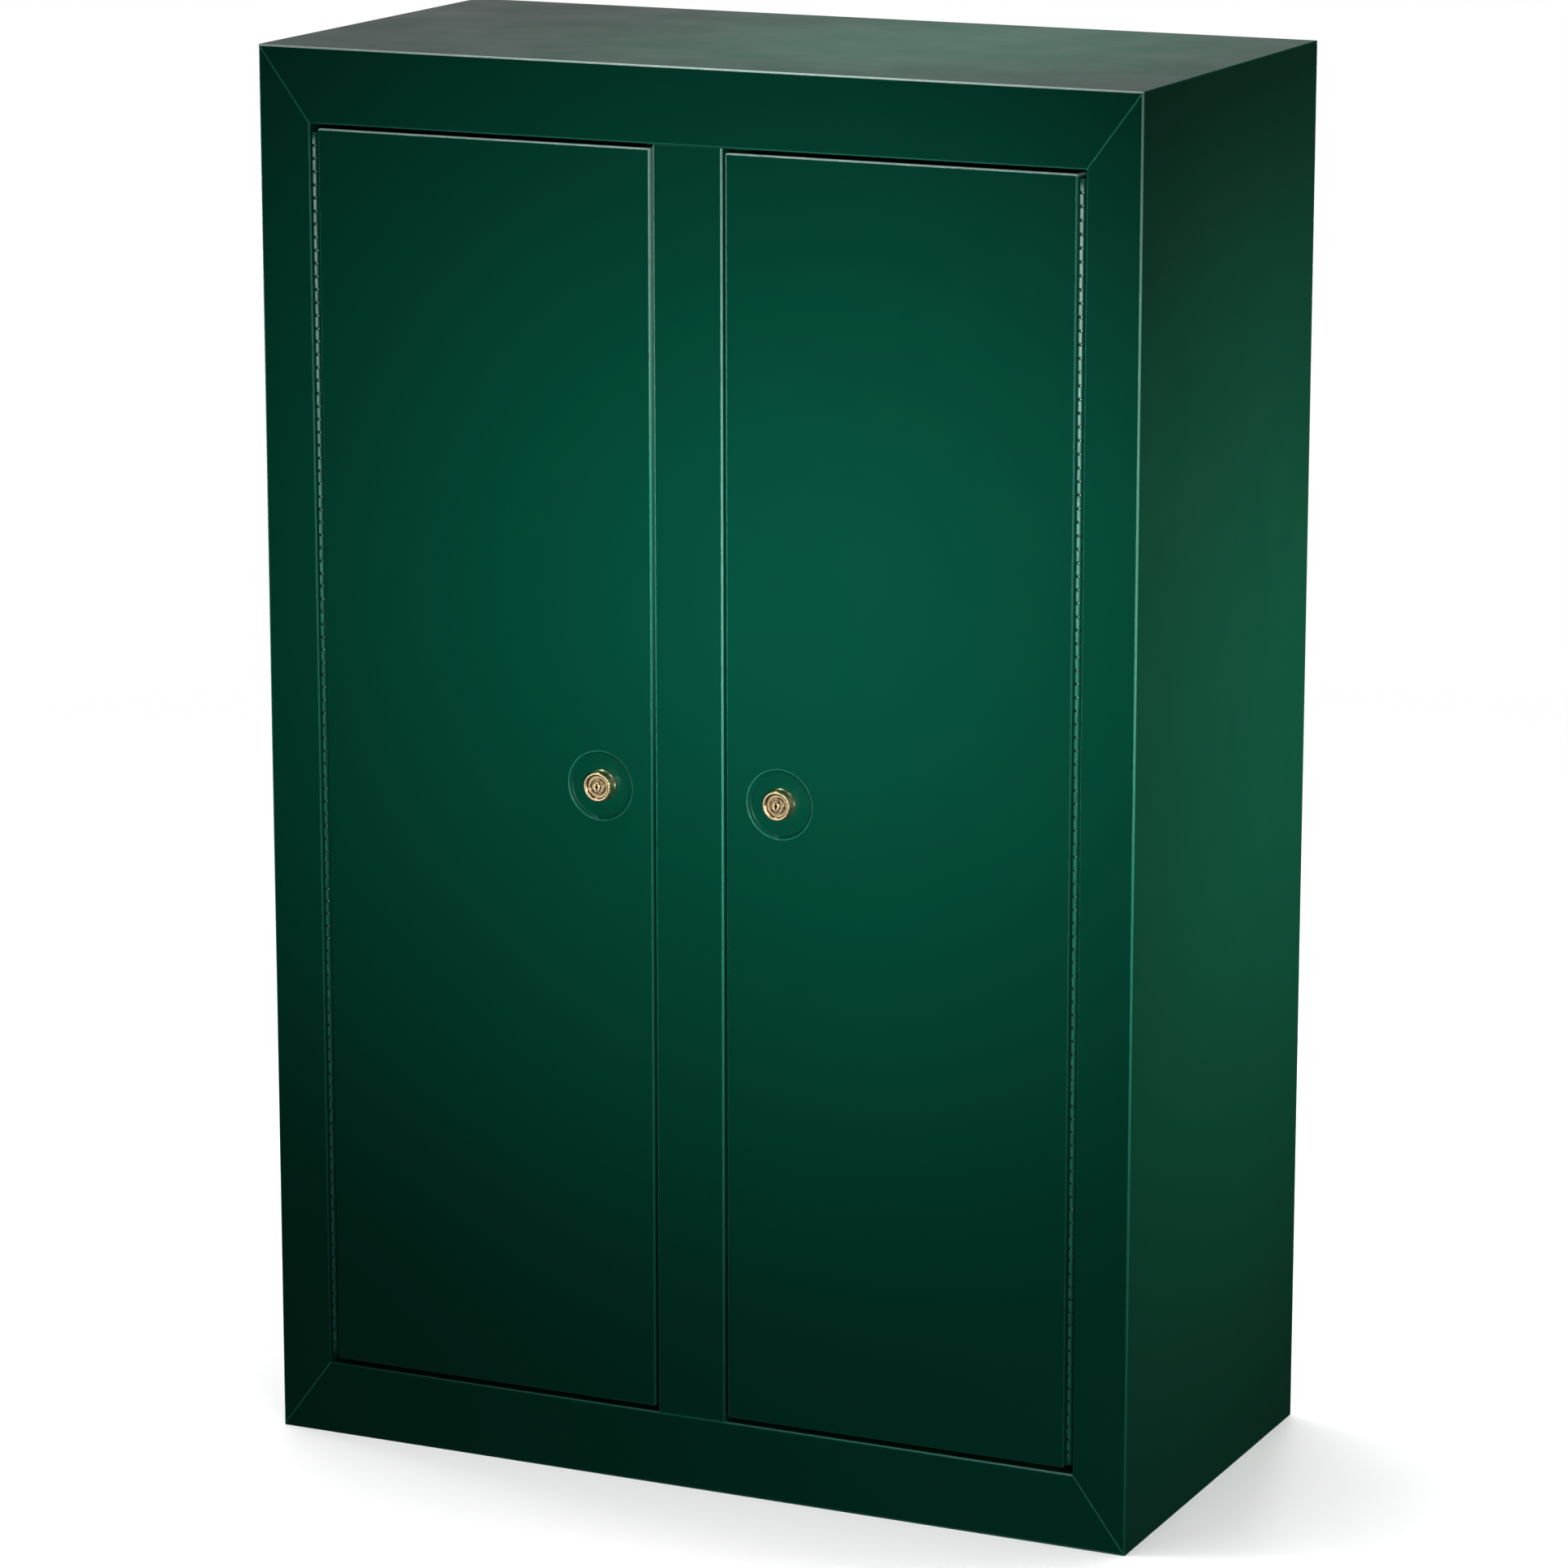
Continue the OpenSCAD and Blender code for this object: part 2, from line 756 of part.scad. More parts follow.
left_side();
right_side();
top_panel();
bottom_panel();
back_panel();
centre_post();
divider();
left_frame_leaf();
right_frame_leaf();
left_hinge_pin();
right_hinge_pin();
left_door_leaf();
right_door_leaf();
left_door_skin();
right_door_skin();
left_door_stiffener();
right_door_stiffener();
left_rod_guides();
right_rod_guides();
left_guide_rivets();
right_guide_rivets();
left_lock_housing();
right_lock_housing();
left_lock_nut();
right_lock_nut();
left_lock_plug();
right_lock_plug();
left_lock_cam();
right_lock_cam();
left_cam_screw();
right_cam_screw();
left_upper_rod();
right_upper_rod();
left_lower_rod();
right_lower_rod();
side_standards();
divider_standards();
shelf_clips();
lower_shelf();
middle_shelf();
upper_shelf();
rest_bracket();
rest_rivets();
barrel_rest();
left_floor_pad();
right_floor_pad();
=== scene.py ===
"""A green two-door steel gun cabinet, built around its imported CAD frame.

Metres throughout. The doors face -Y, +Z is up, and the right-hand parts mirror the left-hand ones.
The case's sheets are drawn as a centre line with rounded bends and extruded. The door pans are
nested rings, the locks are turned, and the small parts stay as the CAD nodes they are.
"""

import json
import math

import bmesh
import bpy
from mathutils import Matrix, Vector

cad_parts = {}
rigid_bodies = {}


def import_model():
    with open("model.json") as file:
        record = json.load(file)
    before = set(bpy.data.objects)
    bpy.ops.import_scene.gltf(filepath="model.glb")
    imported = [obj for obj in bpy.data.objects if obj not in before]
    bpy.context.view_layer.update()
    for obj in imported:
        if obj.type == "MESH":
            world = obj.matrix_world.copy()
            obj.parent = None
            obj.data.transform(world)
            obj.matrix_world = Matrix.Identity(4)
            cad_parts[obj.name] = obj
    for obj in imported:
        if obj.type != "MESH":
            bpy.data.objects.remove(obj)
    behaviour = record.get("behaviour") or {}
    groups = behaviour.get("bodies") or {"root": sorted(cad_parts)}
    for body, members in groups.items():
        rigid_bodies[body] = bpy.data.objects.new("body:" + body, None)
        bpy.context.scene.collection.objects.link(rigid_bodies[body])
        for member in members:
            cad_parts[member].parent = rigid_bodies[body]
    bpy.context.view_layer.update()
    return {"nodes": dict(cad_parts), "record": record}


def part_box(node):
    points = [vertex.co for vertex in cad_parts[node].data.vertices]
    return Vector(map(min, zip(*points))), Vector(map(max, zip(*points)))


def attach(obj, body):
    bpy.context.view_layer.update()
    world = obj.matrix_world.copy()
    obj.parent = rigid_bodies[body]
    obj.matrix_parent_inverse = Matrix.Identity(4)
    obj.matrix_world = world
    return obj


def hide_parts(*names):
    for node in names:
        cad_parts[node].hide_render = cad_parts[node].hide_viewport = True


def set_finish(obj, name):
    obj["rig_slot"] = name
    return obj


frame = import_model()

MM = 0.001
WELD = 1e-6
GREEN, ZINC, BRASS, FOAM = "green_paint", "zinc_steel", "lock_brass", "foam_pad"
SLOTS = {s["node"]: s["material_slot"] for s in frame["record"]["subparts"]}
BEND_STEPS = 7

# Sizes: places come from the CAD frame, small details of the sheet metal are given here

case_lo, case_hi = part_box("left_side")
HALF_W = -case_lo.x
FRONT_Y, BACK_Y = case_lo.y, case_hi.y
CASE_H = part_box("top_panel")[1].z
STILE = case_hi.x - case_lo.x
RAIL = CASE_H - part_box("top_panel")[0].z
SHEET = 1.0 * MM
BEND = 2.0 * MM
SEAM = 0.3 * MM
OPEN_X = HALF_W - STILE
FRAME_FOLD = 25 * MM
BACK_FOLD = 20 * MM

door_lo, door_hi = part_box("left_door_skin")
DOOR_CORNER = 2.6 * MM
DOOR_LIP = 12 * MM

lock_lo, lock_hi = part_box("left_lock_housing")
LOCK_X = (lock_lo.x + lock_hi.x) / 2
LOCK_Z = (lock_lo.z + lock_hi.z) / 2
LOCK_FACE = lock_lo.y
LOCK_END = lock_hi.y
DISH_D = 3 * MM
DISH_R = 35 * MM
DISH_FLOOR_R = 30 * MM

pin_lo, pin_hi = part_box("left_hinge_pin")
PIN_X = (pin_lo.x + pin_hi.x) / 2
PIN_Y = (pin_lo.y + pin_hi.y) / 2
HINGE_Z = pin_lo.z
KNUCKLE_PITCH = 12.7 * MM
KNUCKLE_GAP = 1.4 * MM
KNUCKLE_LEVELS = (0, 0.14, 0.86, 1)
KNUCKLE_N = round((pin_hi.z - pin_lo.z) / KNUCKLE_PITCH)
KNUCKLE_R = 3.5 * MM
LEAF_T = 1.2 * MM
LEAF_OUT = 4.2 * MM
LEAF_D = 19.5 * MM
LEAF_RELIEF = 4.2 * MM

# Colours, as linear red, green and blue

PAINT_DEEP = (0.0003, 0.071, 0.040)
PAINT_BRIGHT = (0.0005, 0.078, 0.045)
PAINT_FLECK = (0.001, 0.095, 0.057)
# The next three are painted highlight colours: lighter green on sharp edges, dim teal and pale on bends
PAINT_EDGE_HIGHLIGHT = (0.008, 0.28, 0.18)
PAINT_DIM_HIGHLIGHT = (0.035, 0.30, 0.21)
PAINT_BEND_HIGHLIGHT = (0.66, 0.80, 0.73)
ZINC_COOL = (0.52, 0.55, 0.60)
ZINC_WARM = (0.66, 0.64, 0.58)
ZINC_EDGE = (0.80, 0.80, 0.80)
BRASS_DEEP = (0.86, 0.63, 0.34)
BRASS_BRIGHT = (0.93, 0.73, 0.44)
BRASS_EDGE = (1.0, 0.90, 0.68)
# Painted shade, mixed into the brass's hollows
BRASS_HOLLOW_SHADE = (0.09, 0.055, 0.03)
FOAM_DEEP = (0.020, 0.020, 0.023)
FOAM_PALE = (0.044, 0.044, 0.048)
FOAM_DUST = (0.085, 0.085, 0.090)
FLOOR_GREY = (0.86, 0.86, 0.86)
FLOOR_PALE = (0.88, 0.88, 0.88)
SIDE_TINT = (0.55, 1, 0.75)

# How bright the painted highlight on a bend is, from 0 (none) through 0.3 (dim teal) to 1 (pale)

HIGHLIGHT_TOP_EDGE = 0.95
HIGHLIGHT_DOOR_TOP = 0.75
HIGHLIGHT_BOTTOM = 0.4
HIGHLIGHT_BEAD = 0.3
HIGHLIGHT_DISH = 0.16
HIGHLIGHT_SHEET_LOW, HIGHLIGHT_SHEET_RISE = 0.08, 0.47
HIGHLIGHT_KNUCKLE_LOW, HIGHLIGHT_KNUCKLE_RISE = 0.2, 0.7
HIGHLIGHT_KNUCKLE_END = 0.03
HIGHLIGHT_BY_HINGE = 0.35

# Where those painted highlights grow brighter with height, begin along the bottom rail, and stop along a
# knuckle

RISE_FROM, RISE_OVER = 0.55, 0.35
BOTTOM_FROM = 0.7
KNUCKLE_MIDDLE = 0.35
HINGE_REACH = 9 * MM

# What counts as a bend: the angle between neighbouring faces, and a knuckle's front by its radius

BEND_ANGLES = (math.radians(9), math.radians(29))
KNUCKLE_CREST = 0.9

# Camera (angles in degrees, lens and sensor in millimetres), floor and studio

CAMERA_PLACE = (2.514, -5.4567, 2.0728)
CAMERA_DOWN = 13.212
CAMERA_TURN = 24.785
CAMERA_LENS = 142.985
CAMERA_SENSOR = 36
CAMERA_REACH = 100
FLOOR_R = 4.0
FLOOR_FADE = (0.35 * FLOOR_R, 0.95 * FLOOR_R)
SQUARE = ((-1, -1), (1, -1), (1, 1), (-1, 1))
STUDIO_DIM = 0.035
STUDIO_PALE = 1.0


# Node materials


class Nodes:
    """A material's node tree, with short names for what the materials here need."""

    def __init__(self, name):
        self.material = bpy.data.materials.new(name)
        self.material.use_nodes = True
        self.tree = self.material.node_tree
        self.shader = self.tree.nodes["Principled BSDF"]
        self.place = self.add("ShaderNodeTexCoord").outputs["Object"]

    def add(self, kind, **values):
        node = self.tree.nodes.new(kind)
        for key, value in values.items():
            setattr(node, key, value)
        return node

    def link(self, source, target):
        self.tree.links.new(source, target)

    def scaled(self, x, y, z):
        node = self.add("ShaderNodeMapping")
        node.inputs["Scale"].default_value = (x, y, z)
        self.link(self.place, node.inputs["Vector"])
        return node.outputs["Vector"]

    def noise(self, scale, detail=2.0, rough=0.5, vector=None):
        node = self.add("ShaderNodeTexNoise")
        node.inputs["Scale"].default_value = scale
        node.inputs["Detail"].default_value = detail
        node.inputs["Roughness"].default_value = rough
        self.link(vector or self.place, node.inputs["Vector"])
        return node.outputs["Fac"]

    def cells(self, scale, vector=None):
        node = self.add("ShaderNodeTexVoronoi")
        node.inputs["Scale"].default_value = scale
        self.link(vector or self.place, node.inputs["Vector"])
        return node.outputs["Distance"]

    def span(self, source, low, high, lo_in=0.3, hi_in=0.7):
        node = self.add("ShaderNodeMapRange")
        node.inputs["From Min"].default_value = lo_in
        node.inputs["From Max"].default_value = hi_in
        node.inputs["To Min"].default_value = low
        node.inputs["To Max"].default_value = high
        self.link(source, node.inputs["Value"])
        return node.outputs["Result"]

    def math(self, kind, a, b):
        node = self.add("ShaderNodeMath", operation=kind)
        for socket, value in zip(node.inputs, (a, b)):
            if isinstance(value, (int, float)):
                socket.default_value = value
            else:
                self.link(value, socket)
        return node.outputs["Value"]

    def blend(self, factor, low, high):
        """A colour between two colours, each a tuple or another node's colour."""
        node = self.add("ShaderNodeMix", data_type="RGBA")
        self.link(factor, node.inputs["Factor"])
        for key, value in (("A", low), ("B", high)):
            socket = next(s for s in node.inputs if s.name == key and s.type == "RGBA")
            if isinstance(value, tuple):
                socket.default_value = (*value, 1)
            else:
                self.link(value, socket)
        return next(s for s in node.outputs if s.type == "RGBA")

    def edges(self, radius):
        """1 where a sharp edge is within the radius, 0 on flat faces."""
        bevel = self.add("ShaderNodeBevel", samples=4)
        bevel.inputs["Radius"].default_value = radius
        flat = self.add("ShaderNodeNewGeometry").outputs["Normal"]
        dot = self.add("ShaderNodeVectorMath", operation="DOT_PRODUCT")
        self.link(bevel.outputs["Normal"], dot.inputs[0])
        self.link(flat, dot.inputs[1])
        return self.span(dot.outputs["Value"], 1.0, 0.0, 0.75, 0.99)

    def bumps(self, *layers):
        """Stacks bump layers, each of (height, depth in metres, strength), on the shader's normal."""
        normal = None
        for height, depth, strength in layers:
            bump = self.add("ShaderNodeBump")
            bump.inputs["Distance"].default_value = depth
            bump.inputs["Strength"].default_value = strength
            self.link(height, bump.inputs["Height"])
            if normal:
                self.link(normal, bump.inputs["Normal"])
            normal = bump.outputs["Normal"]
        self.link(normal, self.shader.inputs["Normal"])

    def finish(self, colour, roughness, **constants):
        self.link(colour, self.shader.inputs["Base Color"])
        self.link(roughness, self.shader.inputs["Roughness"])
        for key, value in constants.items():
            self.shader.inputs[key.replace("_", " ")].default_value = value
        return self.material


def green_paint():
    """Dark green powder coat: an even gloss with a fine orange peel, over sheet that isn't quite flat,
    with painted highlights on its sharp edges and bends.
    """
    n = Nodes("green_powder_coat")
    broad = n.noise(2.2, 3.0)
    fleck = n.noise(900.0, 2.0, 0.6)
    body = n.blend(n.span(broad, 0, 1), PAINT_DEEP, PAINT_BRIGHT)
    body = n.blend(n.span(fleck, 0.0, 0.22), body, PAINT_FLECK)
    # Painted highlight: the coat is lightened within 1.4 mm of a sharp edge
    body = n.blend(n.math("MULTIPLY", n.edges(1.4 * MM), 0.9), body, PAINT_EDGE_HIGHLIGHT)
    # Painted highlights along bends: the coat goes towards a dim teal highlight, then a pale one, as the
    # bend value rises
    bend = n.add("ShaderNodeAttribute", attribute_name="bend").outputs["Fac"]
    body = n.blend(n.span(bend, 0, 1, 0.0, 0.3), body, PAINT_DIM_HIGHLIGHT)
    body = n.blend(n.span(bend, 0, 1, 0.3, 1.0), body, PAINT_BEND_HIGHLIGHT)
    peel = n.noise(420.0, 2.0, 0.5)
    wave = n.noise(5.0, 1.0, 0.4)
    haze = n.noise(14.0, 3.0, 0.55)
    rough = n.span(haze, 0.33, 0.38)
    rough = n.math("ADD", rough, n.span(fleck, -0.02, 0.02))
    rough = n.math("SUBTRACT", rough, n.math("MULTIPLY", bend, 0.12))
    n.bumps((wave, 0.12 * MM, 0.5), (peel, 0.02 * MM, 0.5), (fleck, 0.006 * MM, 0.4))
    return n.finish(body, rough, Specular_IOR_Level=0.15)


def zinc_steel():
    """Zinc-plated steel, with drawn streaks, a faint tint and duller patches."""
    n = Nodes("zinc_plate")
    streak = n.noise(1.0, 3.0, 0.6, n.scaled(900, 900, 25))
    patch = n.noise(45.0, 3.0)
    tint = n.blend(n.span(patch, 0, 1), ZINC_COOL, ZINC_WARM)
    tint = n.blend(n.math("MULTIPLY", n.edges(0.5 * MM), 0.5), tint, ZINC_EDGE)
    rough = n.math("ADD", n.span(patch, 0.26, 0.42), n.span(streak, -0.05, 0.05))
    n.bumps((streak, 0.02 * MM, 0.5), (n.noise(1500.0), 0.005 * MM, 0.4))
    return n.finish(tint, rough, Metallic=1.0)


def lock_brass():
    """Satin brass plate with turning marks, brighter on its edges and darkened with painted shade in its
    hollows.
    """
    n = Nodes("satin_brass")
    mark = n.noise(1.0, 2.0, 0.5, n.scaled(300, 1800, 300))
    patch = n.noise(180.0, 2.0)
    tint = n.blend(n.span(patch, 0, 1), BRASS_DEEP, BRASS_BRIGHT)
    tint = n.blend(n.math("MULTIPLY", n.edges(0.4 * MM), 0.7), tint, BRASS_EDGE)
    rough = n.math("ADD", n.span(patch, 0.24, 0.32), n.span(mark, -0.03, 0.03))
    # Painted shade: where ambient occlusion finds a hollow, the brass darkens towards a deep brown
    hollow = n.add("ShaderNodeAmbientOcclusion", samples=6)
    hollow.inputs["Distance"].default_value = 5 * MM
    hollow_shade = n.span(hollow.outputs["AO"], 0.90, 0.0, 0.42, 0.75)
    tint = n.blend(hollow_shade, tint, BRASS_HOLLOW_SHADE)
    n.bumps((mark, 0.006 * MM, 0.3), (n.noise(1500.0), 0.002 * MM, 0.3))
    return n.finish(tint, rough, Metallic=1.0)


def foam_pad():
    """Dark grey open-cell foam: fine cells, dusty high spots and a slow change of shade."""
    n = Nodes("open_cell_foam")
    cell = n.cells(520.0)
    fine = n.noise(1400.0, 3.0, 0.7)
    shade = n.noise(9.0, 3.0)
    body = n.blend(n.span(shade, 0, 1), FOAM_DEEP, FOAM_PALE)
    body = n.blend(n.span(cell, 0.0, 0.55, 0.1, 0.6), body, FOAM_DUST)
    rough = n.span(fine, 0.82, 0.98)
    n.bumps((cell, 0.7 * MM, 0.7), (fine, 0.25 * MM, 0.5), (n.noise(28.0), 1.2 * MM, 0.3))
    return n.finish(body, rough, Specular_IOR_Level=0.2)


MATERIALS = {GREEN: green_paint(), ZINC: zinc_steel(), BRASS: lock_brass(), FOAM: foam_pad()}


# Meshes


def new_piece(name, verts, faces, slot, body, *nodes, edge=0.22 * MM, steps=2):
    """A piece from its points and faces, in its slot's material, in place of its CAD nodes."""
    mesh = bpy.data.meshes.new(name)
    mesh.from_pydata([tuple(v) for v in verts], [], faces)
    bm = bmesh.new()
    bm.from_mesh(mesh)
    bmesh.ops.remove_doubles(bm, verts=bm.verts, dist=WELD)
    bmesh.ops.recalc_face_normals(bm, faces=bm.faces)
    bm.to_mesh(mesh)
    bm.free()
    obj = bpy.data.objects.new(name, mesh)
    bpy.context.scene.collection.objects.link(obj)
    obj.data.materials.append(MATERIALS[slot])
    soften(obj, edge, steps)
    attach(obj, body)
    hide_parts(*nodes)
    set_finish(obj, slot)
    return obj


def soften(obj, edge, steps=2):
    """Rounds an object's sharp edges and shades it smooth."""
    obj.data.shade_smooth()
    if edge:
        bevel = obj.modifiers.new("edge", "BEVEL")
        bevel.width = edge
        bevel.segments = steps
        bevel.limit_method = "ANGLE"
        bevel.angle_limit = math.radians(32)
    weighted = obj.modifiers.new("normals", "WEIGHTED_NORMAL")
    weighted.keep_sharp = False
    weighted.weight = 90


def bend_highlight_at(name, point):
    """How bright the painted highlight on a bend is at a point: most on the top edges, least low down."""
    high = min(max((point.z / CASE_H - RISE_FROM) / RISE_OVER, 0), 1)
    if "bead" in name:
        return HIGHLIGHT_BEAD
    if "hinge" in name:
        along = (point.z - HINGE_Z) / KNUCKLE_PITCH % 1
        middle = abs(along - 0.5) < KNUCKLE_MIDDLE
        return HIGHLIGHT_KNUCKLE_LOW + HIGHLIGHT_KNUCKLE_RISE * high if middle else HIGHLIGHT_KNUCKLE_END
    if name == "top_sheet" and point.z > CASE_H - BEND:
        return HIGHLIGHT_TOP_EDGE
    if "door_sheet" in name and point.z > door_hi.z - BEND:
        return HIGHLIGHT_DOOR_TOP
    # The painted highlight along the bottom rail grows towards the right
    if name == "bottom_sheet":
        return HIGHLIGHT_BOTTOM * min(max(point.x / HALF_W + BOTTOM_FROM, 0), 1)
    if math.hypot(abs(point.x) + LOCK_X, point.z - LOCK_Z) < DISH_R + BEND:
        return HIGHLIGHT_DISH
    near_hinge = abs(abs(point.x) + PIN_X) < HINGE_REACH
    return (HIGHLIGHT_SHEET_LOW + HIGHLIGHT_SHEET_RISE * high) * (HIGHLIGHT_BY_HINGE if near_hinge else 1)


def paint_bend_highlights(obj):
    """Paints a highlight on the outside of every bend, bead and knuckle, as a per-point value of how
    bright it is.
    """
    bm = bmesh.new()
    bm.from_mesh(obj.data)
    low, high = BEND_ANGLES
    marks = []
    for v in bm.verts:
        if "bead" in obj.name:
            bent = True
        elif "hinge" in obj.name:
            bent = v.co.y < PIN_Y - KNUCKLE_CREST * KNUCKLE_R
        else:
            bent = any(low < e.calc_face_angle_signed(0) < high for e in v.link_edges)
        marks.append(bend_highlight_at(obj.name, v.co) if bent else 0.0)
    bm.free()
    bend = obj.data.attributes.new("bend", "FLOAT", "POINT")
    bend.data.foreach_set("value", marks)


def paint_all_bend_highlights():
    for obj in bpy.context.scene.objects:
        if obj.get("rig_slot") == GREEN:
            paint_bend_highlights(obj)


def mirrored(verts):
    return [(-x, y, z) for x, y, z in verts]


def both_sides(name, verts, faces, slot, body, node, **options):
    """The left piece and its mirror image. body and node leave out their left_ or right_."""
    for side, points in (("left_", verts), ("right_", mirrored(verts))):
        rides = body if body == "case" else side + body
        new_piece(side + name, points, faces, slot, rides, side + node, **options)


def bent_line(corners, radius, steps=BEND_STEPS):
    """Points and sideways directions along a line of 2D corners, rounded at each inner corner."""
    line = [Vector(c) for c in corners]
    out = []
    for i, here in enumerate(line):
        if i in (0, len(line) - 1):
            along = (line[1] - line[0]) if i == 0 else (line[-1] - line[-2])
            along.normalize()
            out.append((here, Vector((-along.y, along.x))))
            continue
        before = (here - line[i - 1]).normalized()
        after = (line[i + 1] - here).normalized()
        turn = before.angle_signed(after)
        reach = radius * math.tan(abs(turn) / 2)
        side = 1 if turn < 0 else -1
        normal = Vector((-before.y, before.x))
        centre = here - before * reach + normal * radius * side
        for k in range(steps + 1):
            angle = -turn * k / steps
            spin = Vector(
                (
                    normal.x * math.cos(angle) - normal.y * math.sin(angle),
                    normal.x * math.sin(angle) + normal.y * math.cos(angle),
                )
            )
            out.append((centre - spin * radius * side, spin))
    return out


def sheet_ring(corners, thickness=SHEET, radius=BEND - SHEET / 2):
    """The two sides of a folded sheet whose centre line runs through the corners."""
    line = bent_line(corners, radius)
    left = [p + n * thickness / 2 for p, n in line]
    right = [p - n * thickness / 2 for p, n in line]
    return left, right


def extruded(ring, place, levels=(0, 1)):
    """A sheet's two sides carried along its length by place(point, level), for each level."""
    left, right = ring
    n = len(left)
    verts = [place(p, level) for level in levels for row in (left, right) for p in row]
    rows = [((2 * i) * n, (2 * i + 1) * n) for i in range(len(levels))]
    faces = []
    for k in range(n - 1):
        for a, b in (rows[0], rows[-1]):
            faces.append([a + k, a + k + 1, b + k + 1, b + k])
        for lower, upper in zip(rows, rows[1:]):
            for a, b in zip(lower, upper):
                faces.append([a + k, a + k + 1, b + k + 1, b + k])
    for lower, upper in zip(rows, rows[1:]):
        for k in (0, n - 1):
            faces.append([lower[0] + k, lower[1] + k, upper[1] + k, upper[0] + k])
    return verts, faces


def strips(rows, count, base=0, closed=False):
    """Faces between neighbouring rows of points, each row a closed round of count points."""
    faces = []
    for i in range(rows if closed else rows - 1):
        a, b = base + i * count, base + (i + 1) % rows * count
        for k in range(count):
            j = (k + 1) % count
            faces.append([a + k, a + j, b + j, b + k])
    return faces


def turned(profile, x, z, steps=96, closed=False):
    """A shape turned about the line along Y at x, z, from points of (radius, y)."""
    verts = []
    for r, y in profile:
        for k in range(steps):
            a = 2 * math.pi * k / steps
            verts.append((x + r * math.cos(a), y, z + r * math.sin(a)))
    return verts, strips(len(profile), steps, closed=closed)


def box_mesh(lo, hi):
    lo, hi = Vector(lo), Vector(hi)
    verts = [(x, y, z) for x in (lo.x, hi.x) for y in (lo.y, hi.y) for z in (lo.z, hi.z)]
    faces = [(0, 1, 3, 2), (4, 6, 7, 5), (0, 4, 5, 1), (2, 3, 7, 6), (0, 2, 6, 4), (1, 5, 7, 3)]
    return verts, faces


def combine(obj, verts, faces, operation):
    """Joins a closed shape to an object for good, or takes it away."""
    mesh = bpy.data.meshes.new("tool")
    mesh.from_pydata(verts, [], faces)
    bm = bmesh.new()
    bm.from_mesh(mesh)
    bmesh.ops.remove_doubles(bm, verts=bm.verts, dist=WELD)
    bmesh.ops.recalc_face_normals(bm, faces=bm.faces)
    bm.to_mesh(mesh)
    bm.free()
    tool = bpy.data.objects.new("tool", mesh)
    bpy.context.scene.collection.objects.link(tool)
    boolean = obj.modifiers.new("combine", "BOOLEAN")
    boolean.operation = operation
    boolean.solver = "EXACT"
    boolean.object = tool
    apply_first(obj, boolean)
    bpy.data.objects.remove(tool)


def cut(obj, lo, hi):
    """Cuts a box out of an object."""
    combine(obj, *box_mesh(lo, hi), "DIFFERENCE")


def apply_first(obj, modifier):
    """Applies one modifier ahead of the object's others."""
    with bpy.context.temp_override(object=obj, active_object=obj):
        bpy.ops.object.modifier_move_to_index(modifier=modifier.name, index=0)
        bpy.ops.object.modifier_apply(modifier=modifier.name)


# Case


def make_sides():
    """Wall, front upright and back fold in one sheet, mitred at both ends."""
    h = SHEET / 2
    x0, x1 = -HALF_W + h, -OPEN_X - h
    y0, y1 = FRONT_Y + h, BACK_Y - h
    ring = sheet_ring(
        [(x1, y0 + FRAME_FOLD - h), (x1, y0), (x0, y0), (x0, y1), (x0 + BACK_FOLD - h, y1)]
    )

    def place(p, end):
        mitre = SEAM + (p.x + HALF_W) / STILE * RAIL
        return (p.x, p.y, CASE_H - mitre if end else mitre)

    verts, faces = extruded(ring, place)
    both_sides("side_sheet", verts, faces, GREEN, "case", "side")


def make_ends():
    """The top and the bottom, each a panel, a front rail and a back fold in one sheet."""
    h = SHEET / 2
    y0, y1 = FRONT_Y + h, BACK_Y - h
    z0, z1 = RAIL - h, h
    ring = sheet_ring(
        [(y0 + FRAME_FOLD - h, z0), (y0, z0), (y0, z1), (y1, z1), (y1, z1 + BACK_FOLD - h)]
    )

    def place(p, end):
        half = HALF_W - p.y / RAIL * STILE
        return (half if end else -half, p.x, p.y)

    verts, faces = extruded(ring, place)
    upper = [(x, y, CASE_H - z) for x, y, z in verts]
    top = new_piece("top_sheet", upper, faces, GREEN, "case", "top_panel")
    bottom = new_piece("bottom_sheet", verts, faces, GREEN, "case", "bottom_panel")
    grow, reach = 1.0 * MM, 5 * MM
    for piece, rod, fold in ((top, "upper_rod", CASE_H - RAIL), (bottom, "lower_rod", RAIL)):
        for side in ("left_", "right_"):
            lo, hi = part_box(side + rod)
            low = (lo.x - grow, lo.y - grow, fold - reach)
            high = (hi.x + grow, hi.y + grow, fold - reach + 10 * MM)
            cut(piece, low, high)


def make_post():
    """The centre post, a channel with flanges behind both doors."""
    h = SHEET / 2
    lo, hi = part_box("centre_post")
    half = -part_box("right_door_skin")[0].x + 3 * MM + h
    y0, y1 = lo.y + h, hi.y - h
    ring = sheet_ring([(lo.x, y1), (half, y1), (half, y0), (-half, y0), (-half, y1), (hi.x, y1)])
    verts, faces = extruded(ring, lambda p, end: (p.x, p.y, hi.z if end else lo.z))
    new_piece("centre_post_sheet", verts, faces, GREEN, "case", "centre_post")


